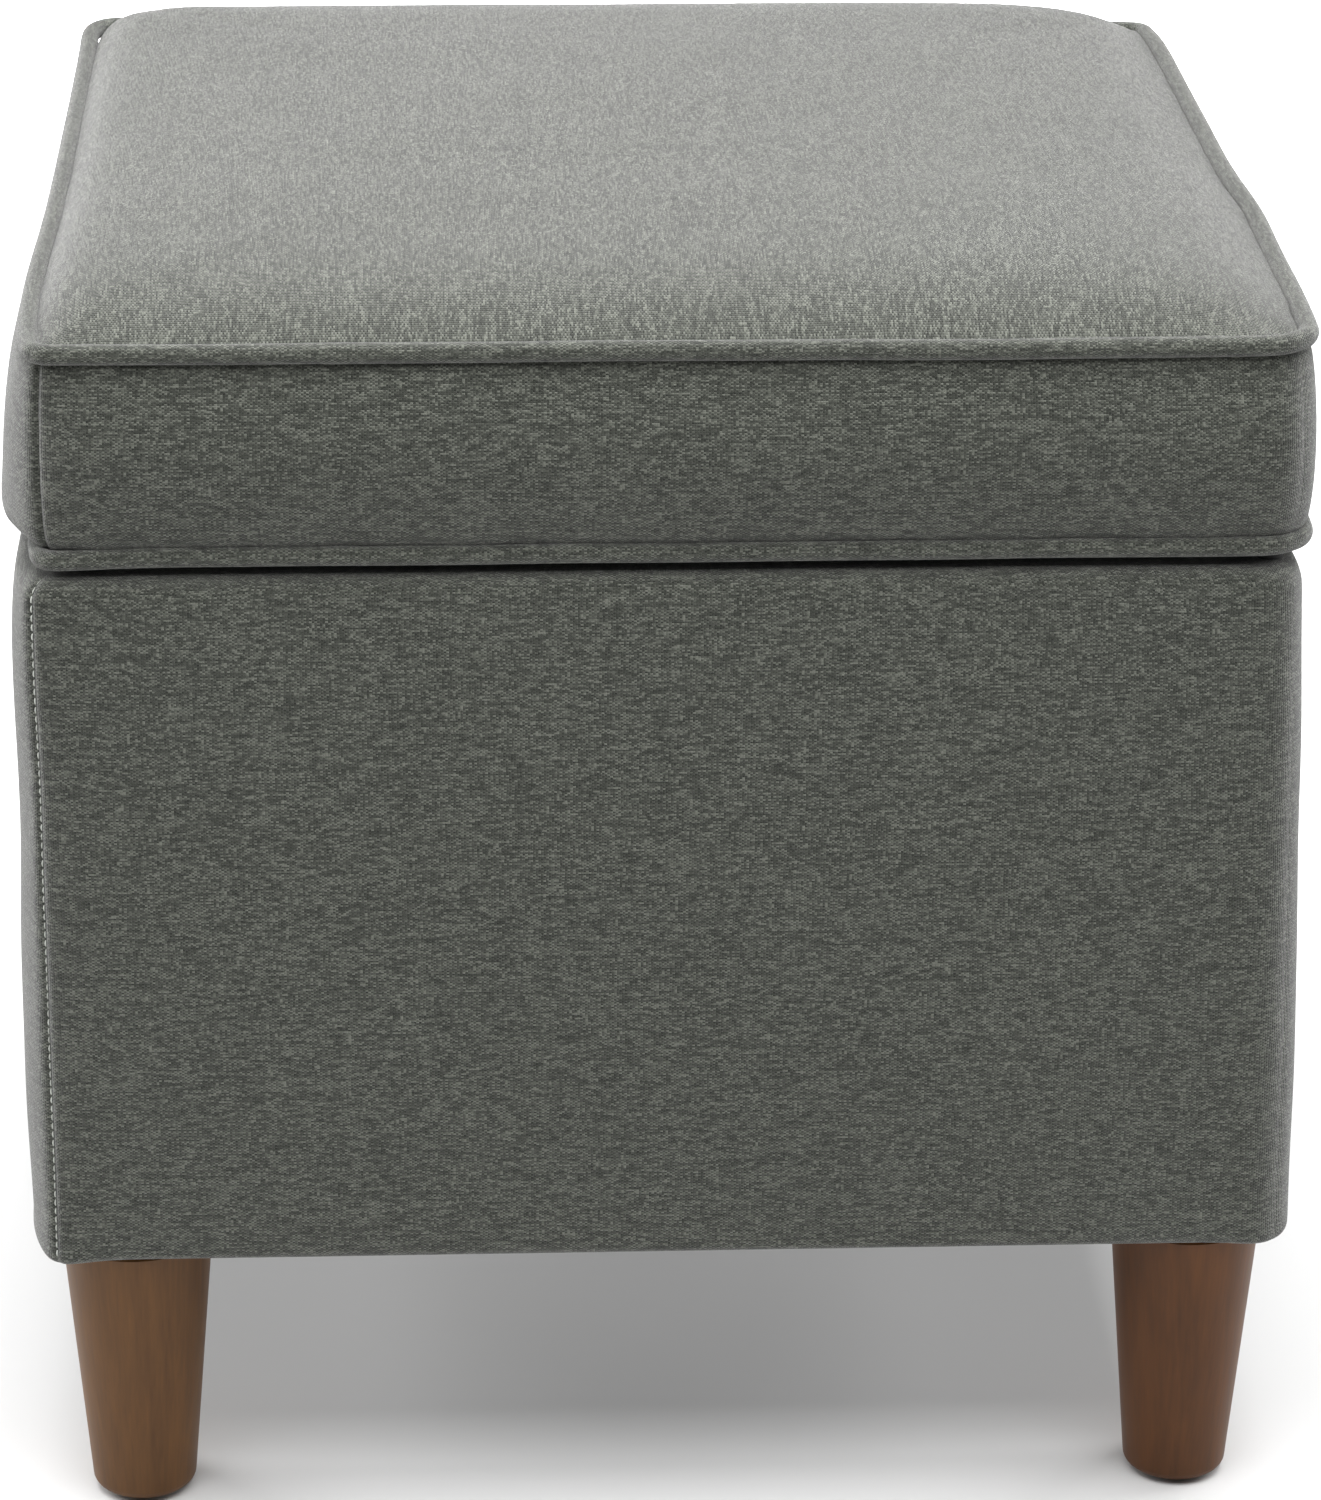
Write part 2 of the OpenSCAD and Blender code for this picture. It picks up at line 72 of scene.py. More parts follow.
class Nodes:
    """A small builder for shader node trees."""

    def __init__(self, name):
        self.material = bpy.data.materials.new(name)
        self.material.use_nodes = True
        self.tree = self.material.node_tree
        self.tree.nodes.clear()
        self.output = self.tree.nodes.new("ShaderNodeOutputMaterial")

    def add(self, kind, inputs=(), **settings):
        node = self.tree.nodes.new(kind)
        for key, value in settings.items():
            setattr(node, key, value)
        for key, value in dict(inputs).items():
            if isinstance(value, bpy.types.NodeSocket):
                self.tree.links.new(value, node.inputs[key])
            else:
                node.inputs[key].default_value = value
        return node

    def math(self, operation, a, b=0.0):
        return self.add("ShaderNodeMath", {0: a, 1: b}, operation=operation).outputs[0]

    def mix(self, factor, a, b):
        node = self.add("ShaderNodeMix", {"Factor": factor}, data_type="FLOAT")
        for index, value in ((2, a), (3, b)):
            if isinstance(value, bpy.types.NodeSocket):
                self.tree.links.new(value, node.inputs[index])
            else:
                node.inputs[index].default_value = value
        return node.outputs[0]

    def combine(self, x, y):
        return self.add("ShaderNodeCombineXYZ", {0: x, 1: y}).outputs[0]

    def noise(self, vector, scale=1.0, detail=2.0, roughness=0.5, distortion=0.0):
        inputs = {
            "Vector": vector, "Scale": scale, "Detail": detail,
            "Roughness": roughness, "Distortion": distortion,
        }
        return self.add("ShaderNodeTexNoise", inputs).outputs["Fac"]

    def white_noise(self, vector):
        return self.add("ShaderNodeTexWhiteNoise", {"Vector": vector}, noise_dimensions="2D").outputs[0]

    def yarn_tone(self, run, thread, length):
        """A tone that is even over random lengths of each thread. run is the distance along it."""
        start = self.white_noise(self.combine(thread, 7.5))
        steps = self.math("ADD", self.math("DIVIDE", run, length), self.math("MULTIPLY", start, 9.0))
        wobble_at = self.combine(self.math("MULTIPLY", steps, 0.37), self.math("MULTIPLY", thread, 1.7))
        wobble = self.noise(wobble_at)
        stretch = self.math("FLOOR", self.math("ADD", steps, self.math("MULTIPLY", wobble, 2.2)))
        return self.white_noise(self.combine(stretch, thread))

    def ramp(self, value, stops):
        node = self.add("ShaderNodeValToRGB", {"Fac": value})
        ramp = node.color_ramp
        while len(ramp.elements) < len(stops):
            ramp.elements.new(0.5)
        for element, (place, colour) in zip(ramp.elements, stops):
            element.position = place
            element.color = (*colour, 1.0)
        return node.outputs["Color"]

    def bump(self, height, distance, strength=1.0):
        inputs = {"Height": height, "Distance": distance, "Strength": strength}
        return self.add("ShaderNodeBump", inputs).outputs["Normal"]

    def finish(self, colour, roughness, normal=None, **constants):
        shader = self.add("ShaderNodeBsdfPrincipled", {"Base Color": colour, "Roughness": roughness})
        for key, value in constants.items():
            shader.inputs[key.replace("_", " ")].default_value = value
        if normal is not None:
            self.tree.links.new(normal, shader.inputs["Normal"])
        self.tree.links.new(shader.outputs[0], self.output.inputs["Surface"])
        return self.material


# ---------------------------------------------------------------- materials

WEAVE_UV = "weave"


def woven(name, dark, light, warp_mm, weft_mm, dash_mm, contrast, relief_mm, roughness, sheen):
    """Plain-weave cloth. Its threads follow the weave UV map, which is in metres."""
    n = Nodes(name)
    uv = n.add("ShaderNodeUVMap", uv_map=WEAVE_UV).outputs[0]
    split = n.add("ShaderNodeSeparateXYZ", {0: uv})
    u_mm = n.math("MULTIPLY", split.outputs[0], 1000.0)
    v_mm = n.math("MULTIPLY", split.outputs[1], 1000.0)
    # threads wander a little from straight
    drift = n.noise(n.combine(n.math("MULTIPLY", u_mm, 0.04), n.math("MULTIPLY", v_mm, 0.07)), detail=3.0)
    across = n.math("ADD", n.math("DIVIDE", u_mm, warp_mm), n.math("MULTIPLY", drift, 1.6))
    along = n.math("ADD", n.math("DIVIDE", v_mm, weft_mm), n.math("MULTIPLY", drift, -1.2))
    column = n.math("FLOOR", across)
    row = n.math("FLOOR", along)
    over = n.math("PINGPONG", n.math("ADD", column, row), 1.0)
    # heather yarn: every thread changes tone in short lengths
    weft = n.yarn_tone(u_mm, row, dash_mm)
    warp = n.mix(0.35, weft, n.yarn_tone(v_mm, column, 0.4 * dash_mm))
    cell = n.white_noise(n.combine(column, row))
    slub_at = n.combine(n.math("MULTIPLY", u_mm, 0.3 / dash_mm), n.math("MULTIPLY", v_mm, 0.8))
    slub = n.noise(slub_at, detail=2.0, roughness=0.6)
    # rare bright specks on single thread crossings: painted highlights that stand in for glinting fibres
    is_painted_glint = n.math("GREATER_THAN", n.white_noise(n.combine(row, column)), 0.94)
    painted_glint = n.mix(is_painted_glint, 0.48, 0.95)
    yarn = n.mix(over, warp, weft)
    tone = 0.5
    for part, weight in ((yarn, 0.55), (cell, 0.42), (over, 0.28), (slub, 0.05), (painted_glint, 1.1)):
        centred = n.math("SUBTRACT", part, 0.5)
        tone = n.math("ADD", n.math("MULTIPLY", centred, weight * contrast), tone)
    middle_share = 0.27
    middle = tuple(a + middle_share * (b - a) for a, b in zip(dark, light))
    colour = n.ramp(tone, [(0.08, dark), (0.5, middle), (0.92, light)])
    # relief: round threads that pass over and under each other
    hump_u = n.math("ABSOLUTE", n.math("SINE", n.math("MULTIPLY", across, math.pi)))
    hump_v = n.math("ABSOLUTE", n.math("SINE", n.math("MULTIPLY", along, math.pi)))
    weft_up = n.math("MULTIPLY", n.math("POWER", hump_v, 0.6), n.mix(hump_u, 0.45, 1.0))
    warp_up = n.math("MULTIPLY", n.math("POWER", hump_u, 0.6), n.mix(hump_v, 0.35, 0.85))
    height = n.math("ADD", n.mix(over, warp_up, weft_up), n.math("MULTIPLY", tone, 0.7))
    normal = n.bump(height, relief_mm * MM)
    rough = n.math("ADD", n.math("MULTIPLY", cell, 0.1), roughness)
    return n.finish(
        colour, rough, normal,
        Sheen_Weight=sheen, Sheen_Roughness=0.45, Sheen_Tint=(0.97, 0.95, 0.98, 1.0), Specular_IOR_Level=0.18,
    )


def plain_wood(name, dark, light, rings, roughness):
    """Plywood and softwood, with grain along X."""
    n = Nodes(name)
    place = n.add("ShaderNodeTexCoord").outputs["Object"]
    stretched = n.add("ShaderNodeMapping", {"Vector": place, "Scale": (6.0, 70.0, 70.0)}).outputs[0]
    grain = n.noise(stretched, 1.0, 6.0, 0.6, 0.8)
    waves = n.add(
        "ShaderNodeTexWave",
        {"Vector": stretched, "Scale": rings, "Distortion": 5.0, "Detail": 3.0},
    ).outputs["Fac"]
    tone = n.mix(0.35, grain, waves)
    colour = n.ramp(tone, [(0.2, dark), (0.75, light)])
    return n.finish(colour, n.mix(grain, roughness, roughness + 0.15), n.bump(grain, 0.2 * MM))


def leg_wood(name, dark, light, shift):
    """Stained and lacquered hardwood, with fine grain along Z."""
    n = Nodes(name)
    place = n.add("ShaderNodeTexCoord").outputs["Object"]
    moved = n.add("ShaderNodeMapping", {"Vector": place, "Location": shift}).outputs[0]
    long_grain = n.add("ShaderNodeMapping", {"Vector": moved, "Scale": (90.0, 90.0, 7.0)}).outputs[0]
    pores_at = n.add("ShaderNodeMapping", {"Vector": moved, "Scale": (700.0, 700.0, 22.0)}).outputs[0]
    broad_at = n.add("ShaderNodeMapping", {"Vector": moved, "Scale": (22.0, 22.0, 9.0)}).outputs[0]
    grain = n.noise(long_grain, 1.0, 6.0, 0.62, 1.2)
    pores = n.noise(pores_at, 1.0, 3.0, 0.6)
    broad = n.noise(broad_at, 1.0, 2.0)
    tone = n.mix(0.45, grain, broad)
    fine = n.math("MULTIPLY", n.math("SUBTRACT", pores, 0.5), 0.35)
    tone = n.math("ADD", tone, fine)
    colour = n.ramp(tone, [(0.25, dark), (0.72, light)])
    rough = n.mix(pores, 0.42, 0.56)
    return n.finish(
        colour, rough, n.bump(pores, 0.05 * MM, 0.5),
        Coat_Weight=0.05, Coat_Roughness=0.35, Specular_IOR_Level=0.25,
    )


def metal(name, colour, roughness, scratches):
    n = Nodes(name)
    place = n.add("ShaderNodeTexCoord").outputs["Object"]
    brushed_at = n.add("ShaderNodeMapping", {"Vector": place, "Scale": scratches}).outputs[0]
    brushed = n.noise(brushed_at, 1.0, 4.0, 0.65)
    worn = n.noise(place, 90.0, 3.0)
    tone = n.mix(0.5, brushed, worn)
    low, high = (tuple(c * k for c in colour) for k in (0.72, 1.1))
    shade = n.ramp(tone, [(0.25, low), (0.75, high)])
    return n.finish(shade, n.mix(tone, roughness, roughness + 0.2), n.bump(brushed, 0.03 * MM), Metallic=1.0)


def moulded(name, colour, roughness):
    """Rubber or moulded plastic with a fine matt texture."""
    n = Nodes(name)
    place = n.add("ShaderNodeTexCoord").outputs["Object"]
    grit = n.noise(place, 1400.0, 3.0, 0.7)
    scuff = n.noise(place, 120.0, 3.0)
    low, high = (tuple(c * k for c in colour) for k in (0.75, 1.35))
    shade = n.ramp(scuff, [(0.3, low), (0.7, high)])
    return n.finish(shade, n.mix(grit, roughness, roughness + 0.15), n.bump(grit, 0.05 * MM))


def foam(name, dark, light):
    """Open-cell polyurethane foam."""
    n = Nodes(name)
    place = n.add("ShaderNodeTexCoord").outputs["Object"]
    cells = n.add("ShaderNodeTexVoronoi", {"Vector": place, "Scale": 900.0}).outputs["Distance"]
    blotch = n.noise(place, 14.0, 3.0)
    tone = n.mix(0.5, cells, blotch)
    return n.finish(n.ramp(tone, [(0.2, dark), (0.7, light)]), 0.95, n.bump(cells, 0.3 * MM))


def felted(name, dark, light):
    """Thin non-woven cloth: pressed fibres with a faint grid of weld dots."""
    n = Nodes(name)
    place = n.add("ShaderNodeTexCoord").outputs["Object"]
    fibres = n.noise(place, 900.0, 4.0, 0.7, 1.5)
    dots = n.add("ShaderNodeTexVoronoi", {"Vector": place, "Scale": 420.0}, feature="F1").outputs["Distance"]
    cloudy = n.noise(place, 18.0, 3.0)
    tone = n.mix(0.4, fibres, cloudy)
    height = n.math("ADD", n.math("MULTIPLY", dots, 0.6), fibres)
    return n.finish(
        n.ramp(tone, [(0.3, dark), (0.7, light)]), 0.92, n.bump(height, 0.12 * MM), Sheen_Weight=0.15,
    )


COVER = woven(
    "heather_cover", (0.0235, 0.0262, 0.0205), (0.182, 0.192, 0.162),
    warp_mm=0.87, weft_mm=0.56, dash_mm=3.6, contrast=0.95, relief_mm=0.24, roughness=0.85, sheen=0.49,
)
LINING = woven(
    "lining_weave", (0.018, 0.019, 0.02), (0.06, 0.062, 0.065),
    warp_mm=0.6, weft_mm=0.6, dash_mm=2.0, contrast=0.5, relief_mm=0.12, roughness=0.8, sheen=0.2,
)
THREAD = moulded("sewing_thread", (0.5, 0.52, 0.48), 0.7)
NONWOVEN = felted("dust_cloth", (0.012, 0.012, 0.013), (0.04, 0.04, 0.042))
FOAM = foam("padding_foam", (0.62, 0.55, 0.34), (0.86, 0.8, 0.6))
PLYWOOD = plain_wood("plywood", (0.42, 0.28, 0.15), (0.68, 0.52, 0.32), 1.6, 0.6)
SOFTWOOD = plain_wood("softwood", (0.5, 0.34, 0.17), (0.78, 0.6, 0.36), 2.2, 0.65)
STEEL = metal("zinc_steel", (0.62, 0.62, 0.6), 0.3, (900.0, 60.0, 60.0))
BRASSED = metal("screw_steel", (0.66, 0.58, 0.4), 0.32, (500.0, 500.0, 500.0))
NYLON = moulded("glide_nylon", (0.05, 0.045, 0.04), 0.5)
RUBBER = moulded("bumper_rubber", (0.018, 0.018, 0.018), 0.75)
LEG_TONES = {
    "leg_front_left": ((0.064, 0.027, 0.007), (0.152, 0.068, 0.019), (0.3, 0.1, 0.0)),
    "leg_front_right": ((0.05, 0.017, 0.003), (0.121, 0.043, 0.009), (1.7, 0.6, 0.2)),
    "leg_back_left": ((0.066, 0.028, 0.007), (0.155, 0.069, 0.02), (2.9, 1.1, 0.5)),
    "leg_back_right": ((0.06, 0.024, 0.006), (0.145, 0.06, 0.017), (4.1, 1.9, 0.9)),
}


def material_of(node):
    """The material of a CAD node that stays in view."""
    if node in LEG_TONES:
        return leg_wood(node + "_wood", *LEG_TONES[node])
    starts = (
        ("corner_block", SOFTWOOD), ("glide", NYLON), ("bumper", RUBBER),
        ("hinge_left", STEEL), ("hinge_right", STEEL), ("stay_left", STEEL), ("stay_right", STEEL),
        ("leg_bolts", STEEL), ("leg_nuts", STEEL),
        ("dust_cover_staples", STEEL), ("lid_lining_staples", STEEL),
    )
    for start, material in starts:
        if node.startswith(start):
            return material
    if node.endswith("screws"):
        return BRASSED
    return PLYWOOD


def dress_frame():
    for name, obj in NODES.items():
        obj.data.materials.clear()
        obj.data.materials.append(material_of(name))


dress_frame()


# ---------------------------------------------------------------- mesh helpers

def make_piece(name, verts, quads, corner_uvs, material, body, stands_for=(), slot=None):
    """A mesh piece with a weave UV map, riding on a body."""
    mesh = bpy.data.meshes.new(name)
    mesh.from_pydata([tuple(v) for v in verts], [], [tuple(q) for q in quads])
    layer = mesh.uv_layers.new(name=WEAVE_UV)
    layer.data.foreach_set("uv", np.asarray(corner_uvs, np.float32).ravel())
    mesh.materials.append(material)
    mesh.validate()
    mesh.shade_smooth()
    obj = bpy.data.objects.new(name, mesh)
    bpy.context.collection.objects.link(obj)
    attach(obj, body)
    if stands_for:
        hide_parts(*stands_for)
    return obj


def grid_faces(rows, columns, closed):
    """Corner indices of the quads of a rows x columns grid. With closed, the last row joins the first."""
    quads, corners = [], []
    for i in range(rows if closed else rows - 1):
        for j in range(columns - 1):
            k = (i + 1) % rows
            quads.append((i * columns + j, k * columns + j, k * columns + j + 1, i * columns + j + 1))
            corners.append(((i, j), (i + 1, j), (i + 1, j + 1), (i, j + 1)))
    return quads, corners


def grid_piece(name, points, us, vs, closed, **kind):
    """points[i, j] is a grid of places. us and vs are its weave coordinates, with one row more if closed."""
    rows, columns = points.shape[:2]
    quads, corners = grid_faces(rows, columns, closed)
    index = np.array(corners)
    uvs = np.stack([us[index[..., 0], index[..., 1]], vs[index[..., 0], index[..., 1]]], axis=-1)
    return make_piece(name, points.reshape(-1, 3), quads, uvs.reshape(-1, 2), **kind)


def smoothen(obj):
    smooth = obj.modifiers.new("smooth", "SUBSURF")
    smooth.levels = smooth.render_levels = 1


def thicken(obj, thickness):
    """Gives a sheet its thickness, on the side away from its normals, and smooths it."""
    solid = obj.modifiers.new("thickness", "SOLIDIFY")
    solid.thickness = thickness
    solid.offset = -1.0
    smoothen(obj)


# ---------------------------------------------------------------- outlines

def side_steps(half, first, growth, longest):
    """Places along a side, from -1 to 1, that lie closer together towards both corners."""
    steps, step, reach = [0.0], first, 0.0
    while reach < half:
        reach += step
        steps.append(reach)
        step = min(step * growth, longest)
    near = np.array(steps) / steps[-1] - 1.0
    return np.concatenate([near, -near[-2::-1]])


SIDE_LENGTH = 410.0 * MM
STEPS = side_steps(SIDE_LENGTH / 2, 0.5 * MM, 1.35, 4.0 * MM)
EVEN_STEPS = np.linspace(-1.0, 1.0, 41)
SIDE_COUNT = len(STEPS) - 1
# A side's swell dies away close to its corners, less so at a corner without a seam.
SIDE_POWER, PLAIN_DROP = 16, 0.35


def round_corner(x, y, half, radii):
    """Moves points of a square grid near its corners onto arcs.

    radii holds the radius of the two sewn corners, front left and back right, and of the other two."""
    r = np.where(x * y > 0, radii[0], radii[1])
    dx, dy = np.abs(x) - (half - r), np.abs(y) - (half - r)
    inside = (dx > 0) & (dy > 0)
    longest = np.maximum(dx, dy)
    scale = np.where(inside, longest / np.maximum(np.hypot(dx, dy), 1e-9), 1.0)
    new_x = np.sign(x) * (half - r + dx * scale)
    new_y = np.sign(y) * (half - r + dy * scale)
    return np.where(inside, new_x, x), np.where(inside, new_y, y)


def swell(t, sewn_end):
    """Fullness along a side, from -1 to 1. It falls to nothing at a sewn corner, and less at a plain one."""
    return 1.0 - np.abs(t) ** SIDE_POWER * np.where(sewn_end, 1.0, PLAIN_DROP)


def humps(t, bumps):
    """Soft humps along a side: each bump is its place, its width and its height."""
    return sum(height * np.exp(-(((t - place) / width) ** 2)) for place, width, height in bumps)


# The sides of the lid are a little uneven where its cords were eased around the filling.
RIGHT_BUMPS = ((-0.3, 0.2, 2.3 * MM), (-0.68, 0.25, 1.6 * MM))
LEFT_BUMPS = ((-0.7, 0.4, 2.4 * MM),)
EVEN = (0.0, 0.0)


def square_to_outline(sx, sy, half, radii, swells, unevenness=EVEN):
    """Maps the square -1..1 to a pillow outline of half width half.

    swells holds how far the front, right, back and left sides stand out between their corners, and
    unevenness how much of their bumps the right and left sides have."""
    x, y = round_corner(sx * half, sy * half, half, radii)
    front, right, back, left = swells
    side_share = np.abs(sx) ** 3
    face_share = np.abs(sy) ** 3
    sewn_end = sx * sy > 0
    to_right = (right + unevenness[0] * humps(sy, RIGHT_BUMPS)) * swell(sy, sewn_end)
    to_left = (left + unevenness[1] * humps(sy, LEFT_BUMPS)) * swell(sy, sewn_end)
    x = x + np.where(sx > 0, to_right, -to_left) * side_share
    y = y + np.where(sy > 0, back, -front) * face_share * swell(sx, sewn_end)
    return x, y


def ring_square(steps):
    """The edge of the square -1..1, from its front left corner round by the front, right, back and left."""
    a = steps[:-1]
    one = np.ones_like(a)
    return np.concatenate([a, one, -a, -one]), np.concatenate([-one, a, one, -a])


def ring(steps, half, radii, swells, z, unevenness=EVEN):
    """One level ring of the box or the lid."""
    x, y = square_to_outline(*ring_square(steps), half, radii, swells, unevenness)
    return np.stack([x, y, np.full_like(x, z)], axis=1)


def outwards(points):
    """Level unit directions out of rings points[i, j] or of one ring points[i]."""
    along = np.roll(points, -1, axis=0) - np.roll(points, 1, axis=0)
    out = np.stack([along[..., 1], -along[..., 0], np.zeros(along.shape[:-1])], axis=-1)
    return out / np.linalg.norm(out, axis=-1, keepdims=True)


def arc_length(points):
    """Distance run along each ring of points[i, j], starting from i = 0, with one entry more to close it."""
    closed = np.concatenate([points, points[:1]])
    steps = np.linalg.norm(np.diff(closed, axis=0), axis=2)
    return np.concatenate([np.zeros((1, points.shape[1])), np.cumsum(steps, axis=0)])


def ring_piece(name, points, **kind):
    """A closed band of rings: points[i, j] with i around and j along its profile."""
    middle = arc_length(points)[:, points.shape[1] // 2]
    us = np.repeat(middle[:, None], points.shape[1], axis=1)
    down = np.linalg.norm(np.diff(points, axis=1), axis=2).mean(axis=0)
    profile = np.concatenate([[0.0], np.cumsum(down)])
    vs = np.repeat(profile[None, :], points.shape[0] + 1, axis=0)
    return grid_piece(name, points, us, vs, closed=True, **kind)


def ripple(points, size, wavelength, seed):
    """A smooth, uneven height for each point, from a few crossing waves."""
    draw = np.random.default_rng(seed)
    total = np.zeros(points.shape[:-1])
    for _ in range(9):
        direction = draw.normal(size=3)
        direction /= np.linalg.norm(direction)
        length = wavelength * draw.uniform(0.6, 1.8)
        phase = draw.uniform(0, 2 * math.pi)
        total += np.sin(points @ direction * 2 * math.pi / length + phase)
    return total / 3.0 * size


def pinch(points, depth, width=0.9 * MM):
    """Draws rings in along the two upright seams, at the front left and back right corners."""
    out = outwards(points)
    count = len(points)
    for corner in (0, count // 2):
        distance = np.linalg.norm(points - points[corner], axis=-1)
        level = np.abs(np.arange(count) - corner)
        near = np.minimum(level, count - level) < count // 8
        share = np.where(near[:, None], np.exp(-((distance / width) ** 2)), 0.0)
        points = points - out * (depth * share)[..., None]
    return points


# ---------------------------------------------------------------- filling by cloth simulation

SIM_FRAMES = 20


def edge_loop(side):
    """Indices of a side x side grid's border, in the order of a ring."""
    last = side - 1
    k = np.arange(last)
    return np.concatenate([
        k * side, last * side + k, (last - k) * side + last, last - k,
    ])


def closed_form(low, rings, high):
    """A closed mesh from a low cap grid, rings[i, j] around it and a high cap grid, all in the same steps."""
    side = low.shape[0]
    around, levels = rings.shape[:2]
    verts = np.concatenate([low.reshape(-1, 3), rings.transpose(1, 0, 2).reshape(-1, 3), high.reshape(-1, 3)])
    quads = [q[::-1] for q in grid_faces(side, side, False)[0]]
    start_high = side * side + around * levels
    loops = [edge_loop(side)]
    loops += [side * side + level * around + np.arange(around) for level in range(levels)]
    loops.append(edge_loop(side) + start_high)
    for below, above in zip(loops, loops[1:]):
        for k in range(around):
            m = (k + 1) % around
            quads.append((int(below[k]), int(below[m]), int(above[m]), int(above[k])))
    quads += [tuple(start_high + c for c in q) for q in grid_faces(side, side, False)[0]]
    return verts, quads


def inflate(low, rings, high, held_rings, hold_high, pressure, cap):
    """How far the rings and the high cap of a closed cover move when it is filled.

    The cover is cloth under pressure. Its low cap and the rings in held_rings stay, and so does the
    high cap's border, or all of it with hold_high. No point moves by more than cap."""
    verts, quads = closed_form(low, rings, high)
    side = low.shape[0]
    around, levels = rings.shape[:2]
    mesh = bpy.data.meshes.new("filling")
    mesh.from_pydata(verts.tolist(), [], quads)
    cover = bpy.data.objects.new("filling", mesh)
    bpy.context.collection.objects.link(cover)
    start_high = side * side + around * levels
    held = list(range(side * side))
    for level in held_rings:
        first = side * side + level % levels * around
        held += range(first, first + around)
    held += range(start_high, len(verts)) if hold_high else [int(k) + start_high for k in edge_loop(side)]
    cover.vertex_groups.new(name="held").add(held, 1.0, "REPLACE")
    cloth = cover.modifiers.new("cloth", "CLOTH")
    settings = cloth.settings
    settings.quality = 6
    settings.tension_stiffness = 25
    settings.compression_stiffness = 25
    settings.shear_stiffness = 8
    settings.bending_stiffness = 1
    settings.vertex_group_mass = "held"
    settings.use_pressure = True
    settings.uniform_pressure_force = pressure
    settings.effector_weights.gravity = 0.0
    cloth.collision_settings.use_collision = False
    for number in range(1, SIM_FRAMES + 1):
        bpy.context.scene.frame_set(number)
    filled = cover.evaluated_get(bpy.context.evaluated_depsgraph_get()).data
    moved = np.empty(3 * len(verts), np.float32)
    filled.vertices.foreach_get("co", moved)
    bpy.data.objects.remove(cover)
    bpy.data.meshes.remove(mesh)
    bpy.context.scene.frame_set(1)
    shift = moved.reshape(-1, 3).astype(float) - verts
    furthest = np.linalg.norm(shift, axis=1).max()
    print("filling: furthest point moved", round(furthest / MM, 2), "mm")
    shift *= min(1.0, cap / furthest)
    of_rings = shift[side * side:start_high].reshape(levels, around, 3).transpose(1, 0, 2)
    return of_rings, shift[start_high:].reshape(side, side, 3)


def cubic_weights(places, count, closed):
    """Weights that read count evenly spaced values, along a smooth curve, at places given in steps."""
    cell = np.floor(places).astype(int)
    if not closed:
        cell = np.clip(cell, 0, count - 2)
    f = places - cell
    curve = (
        (-1, ((2 - f) * f - 1) * f / 2),
        (0, ((3 * f - 5) * f * f + 2) / 2),
        (1, ((4 - 3 * f) * f + 1) * f / 2),
        (2, (f - 1) * f * f / 2),
    )
    weights = np.zeros((len(places), count))
    for step, weight in curve:
        at = (cell + step) % count if closed else np.clip(cell + step, 0, count - 1)
        np.add.at(weights, (np.arange(len(places)), at), weight)
    return weights


def along_side(steps):
    """Places of steps, from -1 to 1, counted in even steps."""
    return (steps + 1.0) / 2.0 * (len(EVEN_STEPS) - 1)


def around_ring(steps):
    one = along_side(steps)[:-1]
    return np.concatenate([one + k * (len(EVEN_STEPS) - 1) for k in range(4)])


def spread_rings(shift, steps, rows):
    """Reads a shift of rings at finer steps around and at rows, from 0 to 1 along the profile."""
    around = cubic_weights(around_ring(steps), shift.shape[0], True)
    up = cubic_weights(rows * (shift.shape[1] - 1), shift.shape[1], False)
    return np.einsum("ai,bj,ijk->abk", around, up, shift)


def spread_cap(shift, steps):
    weights = cubic_weights(along_side(steps), shift.shape[0], False)
    return np.einsum("ai,bj,ijk->abk", weights, weights, shift)


# ---------------------------------------------------------------- levels taken from the frame

BODY_LO, BODY_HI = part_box("box_cover")
TOP_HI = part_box("lid_top_cover")[1]
LOW_WELT_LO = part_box("lid_bottom_welt")[0]
HIGH_WELT_LO, HIGH_WELT_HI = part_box("lid_top_welt")
WELT_R = (HIGH_WELT_HI[2] - HIGH_WELT_LO[2]) / 2
TOP_WELT_Z = HIGH_WELT_LO[2] + WELT_R
LOW_WELT_Z = LOW_WELT_LO[2] + WELT_R
PANEL_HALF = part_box("front_panel")[1][0]
PANEL_IN = -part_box("left_panel")[1][0]
BOARD_TOP_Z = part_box("lid_board")[1][2]
FABRIC_T = 1.0 * MM
WRAP_T = 0.9 * MM
LINING_T = 0.9 * MM
NONWOVEN_T = 0.5 * MM
# Foam stays this far inside the outer face of the fabric.
FOAM_GAP = FABRIC_T + 0.7 * MM
BODY_HALF = 208.8 * MM
LID_HALF = 204.0 * MM
# Radii of the sewn and of the plain corners.
CORNERS = np.array([4.5, 15.0]) * MM
TIGHT_CORNERS = np.array([3.0, 3.0]) * MM


# ---------------------------------------------------------------- box cover

RIM_Z, FOOT_Z = BODY_HI[2], BODY_LO[2]
TOP_ROUND, FOOT_ROUND = 7.5 * MM, 2.6 * MM
WALL_LOW, WALL_HIGH = FOOT_Z + FOOT_ROUND, RIM_Z - TOP_ROUND


def wall_swells(z):
    """How far the front, right, back and left walls stand out between their corners at a height.

    The front is fullest halfway up, the left wall is flatter above its middle and turns in at the rim,
    and the right wall leans in towards the rim."""
    up = (z - FOOT_Z) / (RIM_Z - FOOT_Z)
    slack = math.exp(-(((up - 0.62) / 0.25) ** 2))
    tucked = math.exp(-(z - FOOT_Z) / (12 * MM))
    right = 7.4 - 7.0 * up - 2.7 * up ** 4
    left = 9.5 - 2.1 * slack - 4.3 * up ** 12
    front = 0.5 + 5.0 * math.sin(math.pi * up) ** 0.8
    return np.array([front, right, 4.0 - 3.0 * tucked, left]) * MM


